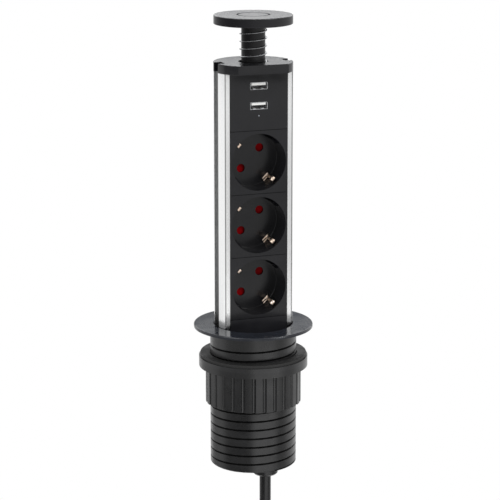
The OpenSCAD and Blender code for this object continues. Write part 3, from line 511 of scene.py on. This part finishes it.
def strap_line(low, high):
    """Points and outward directions along the strap, round a rounded rectangle."""
    r = STRAP_CORNER
    wide, deep = high[0] - low[0] - 2 * r, high[1] - low[1] - 2 * r
    middle = Vector(((low[0] + high[0]) / 2, (low[1] + high[1]) / 2))
    bend = math.pi * r / 2
    around = 2 * (wide + deep + 2 * bend)
    line = []
    for i in range(STRAP_STEPS + 1):
        way = (STRAP_START + STRAP_WAY * i / STRAP_STEPS) * around % around
        for quarter, (run, depth) in enumerate([(wide, deep), (deep, wide)] * 2):
            turn = math.pi / 2 * quarter
            ahead = Vector((math.cos(turn), math.sin(turn)))
            out = Vector((ahead.y, -ahead.x))
            if way <= run:
                line.append((middle + out * (depth / 2 + r) + ahead * (way - run / 2), out))
                break
            way -= run
            if way <= bend:
                aim = out * math.cos(way / r) + ahead * math.sin(way / r)
                line.append((middle + out * depth / 2 + ahead * run / 2 + aim * r, aim))
                break
            way -= bend
    return line


def add_strap():
    """A hook and loop strap, once round the hank's waist with its end lapped over the front."""
    low, high = [[v / MM for v in corner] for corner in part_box("hank_tie")]
    rings = []
    for i, (at, out) in enumerate(strap_line(low, high)):
        way = STRAP_WAY * i / STRAP_STEPS
        lift = LAP_LIFT * STRAP_T * smooth(held((way - LAP_FROM) / LAP_RAMP))
        corners = [(at + out * (depth + lift), low[2] + z) for depth, z in STRAP_SECTION]
        rings.append([(corner.x, corner.y, z) for corner, z in corners])
    return loft("cord_strap", rings, smooth_angle=50.0)


cord = add_cord()
thread_groove_shade = add_thread_groove_shade()
spring = add_spring()
plug = add_plug()
strap = add_strap()
clips = {level: add_earth_clip(level, height) for level, height in SOCKETS.items()}
shells = [add_port_shell(which, height) for which, height in PORTS.items()]
tongues = [add_tongue(which, height) for which, height in PORTS.items()]
inlay = add_inlay()


# Node helpers
def tone(red, green, blue):
    """A colour as it looks on a screen, 0 to 255, in the renderer's own units."""
    def channel(v):
        v /= 255.0
        return v / 12.92 if v <= 0.04045 else ((v + 0.055) / 1.055) ** 2.4
    return (channel(red), channel(green), channel(blue), 1.0)


def put(tree, kind, sockets=None, **settings):
    """A node with its settings, and each named socket given a value or another node's output."""
    made = tree.nodes.new(kind)
    for name, value in settings.items():
        setattr(made, name, value)
    for name, value in (sockets or {}).items():
        if isinstance(value, bpy.types.NodeSocket):
            tree.links.new(value, made.inputs[name])
        else:
            made.inputs[name].default_value = value
    return made


def span(tree, value, low, high, to_low=0.0, to_high=1.0):
    """Maps a value's range on to another one."""
    sockets = {"Value": value, "From Min": low, "From Max": high, "To Min": to_low, "To Max": to_high}
    return put(tree, "ShaderNodeMapRange", sockets).outputs["Result"]


def between(tree, share, low, high):
    """A value between two, by a share."""
    return span(tree, share, 0.0, 1.0, low, high)


def reckon(tree, operation, a, b):
    """Two values added or multiplied, or the larger of them."""
    return put(tree, "ShaderNodeMath", {0: a, 1: b}, operation=operation).outputs[0]


# Places of the colour mixer's share, first colour, second colour and result among its sockets
MIX_SHARE, MIX_LOW, MIX_HIGH, MIX_RESULT = 0, 6, 7, 2


def two_tone(tree, share, low, high):
    """A colour between two, by a share."""
    sockets = {MIX_SHARE: share, MIX_LOW: low, MIX_HIGH: high}
    return put(tree, "ShaderNodeMix", sockets, data_type="RGBA").outputs[MIX_RESULT]


def noise(tree, spot, scale, detail, **others):
    """Cloudy noise, from 0 to 1."""
    sockets = {"Vector": spot, "Scale": scale, "Detail": detail, **others}
    return put(tree, "ShaderNodeTexNoise", sockets).outputs["Fac"]


def start_group(name, inputs, outputs):
    """A node group with named inputs and outputs."""
    tree = bpy.data.node_groups.new(name, "ShaderNodeTree")
    for label, value in inputs.items():
        socket = tree.interface.new_socket(label, in_out="INPUT", socket_type="NodeSocketFloat")
        socket.default_value = value
    for label in outputs:
        tree.interface.new_socket(label, in_out="OUTPUT", socket_type="NodeSocketFloat")
    return tree, tree.nodes.new("NodeGroupInput").outputs, tree.nodes.new("NodeGroupOutput").inputs


def close(tree, outs, **results):
    """Links a group's results to its outputs."""
    for label, socket in results.items():
        tree.links.new(socket, outs[label])
    return tree


def place(tree, group, **values):
    """A shared effect set into a material with its own values."""
    made = tree.nodes.new("ShaderNodeGroup")
    made.node_tree = group
    for label, value in values.items():
        made.inputs[label].default_value = value
    return made.outputs


def here(tree):
    """The place on the object, in metres."""
    return put(tree, "ShaderNodeTexCoord").outputs["Object"]


# Shared effects
def moulded_grain():
    """Fine spark-eroded grain, and a slow drift of tone across the moulding."""
    tree, ins, outs = start_group("moulded_grain", {"Grain": 3000.0}, ("Height", "Tone"))
    spot = here(tree)
    fine = noise(tree, spot, ins["Grain"], 3.0)
    slow = noise(tree, spot, 45.0, 4.0)
    return close(tree, outs, Height=fine, Tone=span(tree, slow, 0.32, 0.68))


def handling_marks():
    """Soft smudges from fingers, and sparse hairline scratches."""
    tree, ins, outs = start_group("handling_marks", {"Size": 70.0}, ("Smudge", "Scratch"))
    spot = here(tree)
    cloud = noise(tree, spot, ins["Size"], 5.0, Distortion=0.6)
    lines = put(tree, "ShaderNodeTexVoronoi", {"Vector": spot, "Scale": 160.0, "Randomness": 1.0},
                feature="DISTANCE_TO_EDGE")
    thin = span(tree, lines.outputs["Distance"], 0.0, 0.012, 1.0, 0.0)
    few = span(tree, noise(tree, spot, 120.0, 2.0), 0.6, 0.7)
    return close(tree, outs, Smudge=span(tree, cloud, 0.4, 0.66), Scratch=reckon(tree, "MULTIPLY", thin, few))


def settled_dust():
    """Specks that lie on faces turned upwards."""
    tree, ins, outs = start_group("settled_dust", {"Cover": 0.5}, ("Mask",))
    facing = put(tree, "ShaderNodeSeparateXYZ", {0: put(tree, "ShaderNodeNewGeometry").outputs["Normal"]})
    level = span(tree, facing.outputs["Z"], 0.75, 1.0)
    sparse = span(tree, noise(tree, here(tree), 1400.0, 2.0), 0.62, 0.72)
    specks = reckon(tree, "MULTIPLY", level, sparse)
    return close(tree, outs, Mask=reckon(tree, "MULTIPLY", specks, ins["Cover"]))


def drawn_lines():
    """Faint lines along the length of drawn or extruded metal."""
    tree, ins, outs = start_group("drawn_lines", {"Fineness": 2600.0, "Length": 0.006}, ("Height", "Tone"))
    stretch = put(tree, "ShaderNodeCombineXYZ", {"X": 1.0, "Y": 1.0, "Z": ins["Length"]})
    long = put(tree, "ShaderNodeVectorMath", {0: here(tree), 1: stretch.outputs[0]}, operation="MULTIPLY")
    lines = noise(tree, long.outputs[0], ins["Fineness"], 2.0)
    band = noise(tree, long.outputs[0], 320.0, 3.0)
    return close(tree, outs, Height=lines, Tone=span(tree, band, 0.3, 0.7))


def woven_loops():
    """A close weave of ribs, with fuzz."""
    tree, ins, outs = start_group("woven_loops", {"Pitch": 5200.0}, ("Height", "Tone"))
    spot = here(tree)
    ribs = []
    for way in ("Z", "DIAGONAL"):
        sockets = {"Vector": spot, "Scale": ins["Pitch"], "Distortion": 0.4}
        ribs.append(put(tree, "ShaderNodeTexWave", sockets, bands_direction=way).outputs["Fac"])
    return close(tree, outs, Height=reckon(tree, "MULTIPLY", *ribs), Tone=noise(tree, spot, 2400.0, 4.0))


GRAIN, MARKS, DUST = moulded_grain(), handling_marks(), settled_dust()
LINES, WEAVE = drawn_lines(), woven_loops()


# Finishes
# The tone of dust specks, and a grey that paints shade into the grooves and corners of metal
SPECK, SHADE_GREY = tone(120, 120, 118), tone(70, 70, 71)
# How far the tone of hairline scratches shows on plastic and on metal
PLASTIC_SCRATCH, METAL_SCRATCH = 0.03, 0.12
# Reach of the painted shade in grooves and corners, in millimetres, and the openness at which it is darkest
# and at which it ends
SHADE_REACH, SHADE_SPAN = 10.0, (0.25, 0.8)
# Relief of the strap's weave, in millimetres
WEAVE_RELIEF = 0.12


def start_finish(name):
    """A material with a plain shader."""
    finish = bpy.data.materials.new(name)
    finish.use_nodes = True
    tree = finish.node_tree
    tree.nodes.clear()
    shader = tree.nodes.new("ShaderNodeBsdfPrincipled")
    out = tree.nodes.new("ShaderNodeOutputMaterial")
    tree.links.new(shader.outputs[0], out.inputs["Surface"])
    return finish, tree, shader


def bump(tree, shader, height, depth):
    """Relief of a depth in millimetres."""
    made = put(tree, "ShaderNodeBump", {"Height": height, "Distance": depth * MM, "Strength": 1.0})
    tree.links.new(made.outputs["Normal"], shader.inputs["Normal"])


def plastic(name, deep, pale, rough, grain=3000.0, relief=0.004, ior=1.5, dust=0.25):
    """Moulded plastic or rubber: two near tones, grain, smudges, hairlines and a little dust."""
    finish, tree, shader = start_finish(name)
    surface = place(tree, GRAIN, Grain=grain)
    marks = place(tree, MARKS)
    body = two_tone(tree, surface["Tone"], tone(*deep), tone(*pale))
    worn = two_tone(tree, between(tree, marks["Scratch"], 0.0, PLASTIC_SCRATCH), body, SPECK)
    dusty = two_tone(tree, place(tree, DUST, Cover=dust)["Mask"], worn, SPECK)
    tree.links.new(dusty, shader.inputs["Base Color"])
    tree.links.new(between(tree, marks["Smudge"], *rough), shader.inputs["Roughness"])
    shader.inputs["IOR"].default_value = ior
    bump(tree, shader, surface["Height"], relief)
    return finish


def metal(name, deep, pale, rough, length=0.006, relief=0.002, groove_shade=0.0):
    """Drawn or rolled metal: faint lines along Z, drifting tone, smudges, and painted shade in tight grooves
    and corners.
    """
    finish, tree, shader = start_finish(name)
    surface = place(tree, LINES, Length=length)
    marks = place(tree, MARKS)
    body = two_tone(tree, surface["Tone"], tone(*deep), tone(*pale))
    worn = two_tone(tree, between(tree, marks["Scratch"], 0.0, METAL_SCRATCH), body, tone(*deep))
    # Painted shade: the base colour goes towards a grey where ambient occlusion finds grooves and corners
    # nearby
    if groove_shade:
        nearby = put(tree, "ShaderNodeAmbientOcclusion", {"Distance": SHADE_REACH * MM}, samples=16)
        worn = two_tone(tree, span(tree, nearby.outputs["AO"], *SHADE_SPAN, groove_shade, 0.0), worn, SHADE_GREY)
    tree.links.new(worn, shader.inputs["Base Color"])
    tree.links.new(between(tree, marks["Smudge"], *rough), shader.inputs["Roughness"])
    shader.inputs["Metallic"].default_value = 1.0
    bump(tree, shader, surface["Height"], relief)
    return finish


def fabric(name, deep, pale, rough):
    """Woven strap with a fuzzy face."""
    finish, tree, shader = start_finish(name)
    surface = place(tree, WEAVE)
    body = two_tone(tree, surface["Tone"], tone(*deep), tone(*pale))
    tree.links.new(body, shader.inputs["Base Color"])
    tree.links.new(between(tree, surface["Height"], *rough), shader.inputs["Roughness"])
    shader.inputs["Sheen Weight"].default_value = 0.3
    bump(tree, shader, surface["Height"], WEAVE_RELIEF)
    return finish


def lens(name, deep, pale, rough):
    """The indicator's clear light guide."""
    finish, tree, shader = start_finish(name)
    marks = place(tree, MARKS, Size=900.0)
    body = two_tone(tree, marks["Smudge"], tone(*deep), tone(*pale))
    tree.links.new(body, shader.inputs["Base Color"])
    tree.links.new(between(tree, marks["Smudge"], *rough), shader.inputs["Roughness"])
    shader.inputs["Transmission Weight"].default_value = 0.25
    shader.inputs["IOR"].default_value = 1.49
    return finish


# Each finish has its name, its darker and its paler tone, and its least and greatest roughness.
# The solids' own materials hold most of these names already, and a dot with a number then follows a name.
FINISHES = {finish.name.split(".")[0]: finish for finish in (
    plastic("gloss_black", (18, 22, 30), (24, 28, 37), (0.15, 0.2), relief=0.001, ior=1.44, dust=0.04),
    plastic("satin_black", (12, 12, 15), (18, 18, 22), (0.2, 0.27), ior=1.45, dust=0.04),
    # A paler copy of satin_black: painted light on the lower panel, which the flange shades
    plastic("lit_panel_black", (27, 27, 30), (34, 34, 37), (0.2, 0.27), ior=1.45, dust=0.04),
    plastic("sleeve_black", (20, 20, 21), (26, 26, 27), (0.27, 0.34), dust=0.04),
    # A near black that barely reflects: painted shade for the ribbon in the thread's groove
    plastic("thread_black", (6, 6, 6), (9, 9, 9), (0.4, 0.55), ior=1.1, dust=0.0),
    plastic("stem_black", (11, 11, 12), (16, 16, 17), (0.16, 0.22), ior=1.4, dust=0.0),
    plastic("base_black", (26, 26, 27), (34, 34, 35), (0.26, 0.38), dust=0.06),
    # The aluminium takes painted shade in its crease, its guide groove and next to the flange
    metal("aluminium", (238, 239, 239), (243, 243, 243), (0.22, 0.25), groove_shade=0.66),
    metal("steel", (150, 151, 153), (186, 187, 189), (0.2, 0.32), length=0.4),
    metal("port_metal", (190, 191, 193), (208, 209, 211), (0.36, 0.48), length=0.5),
    metal("brass", (220, 196, 175), (234, 217, 202), (0.26, 0.36), length=0.5),
    plastic("shutter_red", (137, 3, 9), (153, 5, 13), (0.3, 0.4), ior=1.07, dust=0.0),
    plastic("white_plastic", (243, 243, 240), (250, 250, 248), (0.3, 0.4), dust=0.0),
    plastic("natural_nylon", (222, 214, 192), (234, 228, 208), (0.35, 0.5), dust=0.0),
    plastic("black_rubber", (18, 18, 18), (27, 27, 27), (0.55, 0.7), grain=1800.0, relief=0.02),
    plastic("cord_black", (13, 13, 14), (19, 19, 20), (0.28, 0.38), grain=2200.0, relief=0.008),
    fabric("tie_black", (16, 16, 17), (34, 34, 36), (0.8, 0.95)),
    lens("led_clear", (138, 142, 150), (160, 164, 172), (0.12, 0.3)),
    plastic("board_green", (14, 62, 38), (22, 82, 50), (0.3, 0.4), dust=0.0),
    plastic("coil_yellow", (204, 168, 44), (222, 188, 66), (0.35, 0.5), dust=0.0),
    plastic("can_blue", (28, 44, 92), (38, 58, 112), (0.25, 0.4), dust=0.0),
    plastic("core_brown", (92, 54, 32), (110, 66, 40), (0.4, 0.5), dust=0.0),
    plastic("core_blue", (30, 84, 168), (44, 100, 186), (0.4, 0.5), dust=0.0),
    plastic("core_green", (70, 140, 52), (150, 176, 48), (0.4, 0.5), dust=0.0),
)}

for obj in nodes.values():
    for holder in obj.material_slots:
        holder.material = FINISHES[holder.material.name.split(".")[0]]
# The lower panel takes the paler copy of the black: painted light where the flange shades it
nodes["lower_panel"].material_slots[0].material = FINISHES["lit_panel_black"]
dressed = [(cord, "cord_black"), (spring, "steel"), (plug, "satin_black"), (strap, "tie_black")]
dressed += [(clip, "brass") for clip in clips.values()]
dressed += [(shell, "port_metal") for shell in shells] + [(tongue, "white_plastic") for tongue in tongues]
dressed += [(inlay, "satin_black")]
for piece, slot in dressed:
    piece.data.materials.append(FINISHES[slot])
# The ribbon in the thread's groove is painted shade
thread_groove_shade.data.materials.append(FINISHES["thread_black"])

# Rides and replaced solids
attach(thread_groove_shade, "collar")
for piece in (cord, plug, strap, *clips.values(), *shells, *tongues):
    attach(piece, "tower")
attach(inlay, "knob")
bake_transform(spring)
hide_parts("cord_lead", "cord_hank", "cord_tail")
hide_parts("knob_spring")
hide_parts("plug_body")
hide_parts("hank_tie")
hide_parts("knob_inlay")
for level, clip in clips.items():
    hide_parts("earth_strap_" + level)
for shell in shells:
    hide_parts("usb_shells")
for tongue in tongues:
    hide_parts("usb_tongues")


# Studio
WHITE = (1.0, 1.0, 1.0, 1.0)
WORLD_LIGHT = 0.55
TOWER_TRAVEL = 202.4
# The floor's radius and its distance below the sunken plug, in millimetres
FLOOR_RIM, FLOOR_GAP = 1500.0, 2.0
# Distances in metres over which the floor fades out, and the share of white that the camera sees in it
FLOOR_FADE, FLOOR_WHITE = (0.8, 1.45), 0.93


def seen(tree):
    """1 for rays from the camera, and for those that metal and glass send on."""
    rays = put(tree, "ShaderNodeLightPath").outputs
    total = reckon(tree, "ADD", rays["Is Camera Ray"], rays["Is Glossy Ray"])
    total = reckon(tree, "ADD", total, rays["Is Transmission Ray"])
    total.node.use_clamp = True
    return total


def mixed(tree, share, first, second):
    """A shader between two, by a share."""
    return put(tree, "ShaderNodeMixShader", {0: share, 1: first, 2: second}).outputs[0]


def add_floor():
    """A pale floor under the plug of the sunken tower. It takes the shadow and fades out at its rim."""
    low = cad_box[0][2] / MM - TOWER_TRAVEL - FLOOR_GAP
    corners = [(FLOOR_RIM * math.cos(t), FLOOR_RIM * math.sin(t), low) for t in turns_round(ROUND_SIDES)]
    floor = new_mesh("floor", corners, [tuple(range(ROUND_SIDES))])
    paint, tree, shader = start_finish("floor_paper")
    paper = two_tone(tree, noise(tree, here(tree), 30.0, 3.0), tone(244, 244, 243), tone(248, 248, 247))
    tree.links.new(paper, shader.inputs["Base Color"])
    shader.inputs["Roughness"].default_value = 0.9
    white = put(tree, "ShaderNodeEmission", {"Strength": 1.0}).outputs[0]
    lit = mixed(tree, reckon(tree, "MULTIPLY", seen(tree), FLOOR_WHITE), shader.outputs[0], white)
    far = put(tree, "ShaderNodeVectorMath", {0: here(tree)}, operation="LENGTH").outputs["Value"]
    below = put(tree, "ShaderNodeNewGeometry").outputs["Backfacing"]
    gone = reckon(tree, "MAXIMUM", span(tree, far, *FLOOR_FADE), below)
    clear = tree.nodes.new("ShaderNodeBsdfTransparent").outputs[0]
    out = next(n for n in tree.nodes if n.type == "OUTPUT_MATERIAL")
    tree.links.new(mixed(tree, gone, lit, clear), out.inputs["Surface"])
    floor.data.materials.append(paint)


def add_world():
    """Soft light from all round, before a white background."""
    world = bpy.data.worlds.new("studio")
    scene.world = world
    world.use_nodes = True
    tree = world.node_tree
    tree.nodes.clear()
    light = put(tree, "ShaderNodeBackground", {"Color": WHITE, "Strength": WORLD_LIGHT}).outputs[0]
    white = put(tree, "ShaderNodeBackground", {"Color": WHITE, "Strength": 1.0}).outputs[0]
    both = mixed(tree, seen(tree), light, white)
    tree.links.new(both, tree.nodes.new("ShaderNodeOutputWorld").inputs["Surface"])


# Place, aim and width of each softbox in metres, and its power in watts
SOFTBOXES = {
    "key_softbox": ((0.9, -1.1, 1.2), (0.0, 0.0, 0.08), 1.0, 16.0),
    "fill_softbox": ((-1.3, -0.6, 0.8), (0.0, 0.0, 0.05), 1.0, 9.0),
    "top_softbox": ((0.0, 0.3, 1.6), (0.0, 0.0, 0.0), 1.2, 6.0),
}


def add_softbox(name, at, aim, width, power):
    """A square area lamp turned towards its aim."""
    lamp = bpy.data.lights.new(name, "AREA")
    lamp.shape = "SQUARE"
    lamp.size = width
    lamp.energy = power
    box = link(bpy.data.objects.new(name, lamp))
    box.location = at
    box.rotation_euler = (Vector(aim) - Vector(at)).to_track_quat("-Z", "Y").to_euler()


# The camera's direction from the tower's axis, and about the step along a card, in degrees
CAMERA_SIDE = CAMERA_TURN - 90.0
CARD_STEP = 5.0
PLAIN, COOL = (1.0, 1.0, 1.0), (0.9, 0.98, 1.1)
# Distances of the cards from the tower's axis, in millimetres
FACEPLATE_REACH, KNOB_REACH, FRONT_REACH, TOP_REACH = 60.0, 160.0, 600.0, 1200.0
# Glow along the cards: turn in degrees to the right of the camera, and the glow there
KNOB_GLOW = [(-170, 1.0), (-140, 0.6), (-110, 0.4), (-80, 0.25), (-45, 0.22), (-15, 0.4), (10, 0.6),
             (50, 0.8), (95, 0.8), (125, 0.62), (165, 0.6)]
STEM_GLOW = [(-85, 0.25), (-45, 0.22), (-15, 0.4), (10, 0.6), (60, 0.8)]
SLEEVE_GLOW = [(-138, 0.5), (-112, 0.55), (-98, 0.92), (-86, 0.95), (-70, 0.2), (-50, 0.12), (-10, 0.03),
               (0, 1.1), (8, 1.75), (50, 2.0), (64, 1.3), (70, 0.4), (96, 0.62), (104, 1.1), (125, 1.0)]
CORD_GLOW = [(-138, 0.4), (-98, 0.4), (-80, 0.2), (-60, 0.06), (-20, 0.06), (-5, 0.6), (8, 1.2), (30, 0.5),
             (55, 0.1), (90, 0.1), (125, 0.3)]
# Each card's name, distance, lower and upper edge, glow and tint
CARDS = [
    ("knob_card", KNOB_REACH, (164.0, 235.0), KNOB_GLOW, PLAIN),
    ("stem_card", KNOB_REACH, (153.0, 164.0), STEM_GLOW, PLAIN),
    ("cap_card", KNOB_REACH, (143.0, 164.0), [(90, 0.75), (150, 0.65)], PLAIN),
    ("sleeve_card", FRONT_REACH, (-320.0, -172.0), SLEEVE_GLOW, PLAIN),
    ("cord_card", FRONT_REACH, (-440.0, -320.0), CORD_GLOW, PLAIN),
    ("brow_card", FACEPLATE_REACH, (164.0, 169.5), [(19, 0.2), (54, 0.2)], PLAIN),
    ("cap_front_card", FACEPLATE_REACH, (169.8, 179.0), [(19, 0.95), (54, 0.95)], PLAIN),
    ("front_card", FRONT_REACH, (-165.0, 48.0), [(15, 0.64), (65, 0.64)], PLAIN),
    ("flange_card", TOP_REACH, (190.0, 390.0), [(150, 0.2), (210, 0.2)], COOL),
    ("top_card", TOP_REACH, (410.0, 660.0), [(140, 2.42), (220, 2.42)], PLAIN),
]


def card_line(stops):
    """The stops, with even steps between them."""
    line = []
    for (turn, glow), (next_turn, next_glow) in zip(stops, stops[1:]):
        steps = max(1, round((next_turn - turn) / CARD_STEP))
        shares = [i / steps for i in range(steps)]
        line += [(turn + (next_turn - turn) * s, glow + (next_glow - glow) * s) for s in shares]
    return line + [stops[-1]]


def add_card(name, reach, heights, stops, tint):
    """A curved studio card that only mirrors see, with a glow that drifts along it."""
    corners, faces, levels = [], [], []
    for i, (turn, glow) in enumerate(card_line(stops)):
        a = math.radians(CAMERA_SIDE + turn)
        corners += [(reach * math.cos(a), reach * math.sin(a), z) for z in heights]
        levels += [glow, glow]
        if i:
            faces.append((2 * i - 2, 2 * i - 1, 2 * i + 1, 2 * i))
    card = new_mesh(name, corners, faces)
    shades = card.data.color_attributes.new("glow", "FLOAT_COLOR", "POINT")
    for spot, glow in zip(shades.data, levels):
        spot.color = (glow * tint[0], glow * tint[1], glow * tint[2], 1.0)
    paint = bpy.data.materials.new(name)
    paint.use_nodes = True
    tree = paint.node_tree
    tree.nodes.clear()
    shade = put(tree, "ShaderNodeAttribute", attribute_name="glow")
    light = put(tree, "ShaderNodeEmission", {"Color": shade.outputs["Color"], "Strength": 1.0})
    tree.links.new(light.outputs[0], tree.nodes.new("ShaderNodeOutputMaterial").inputs["Surface"])
    card.data.materials.append(paint)
    card.visible_camera = card.visible_diffuse = card.visible_shadow = card.visible_transmission = False


add_world()
add_floor()
for card in CARDS:
    add_card(*card)
for name, box in SOFTBOXES.items():
    add_softbox(name, *box)
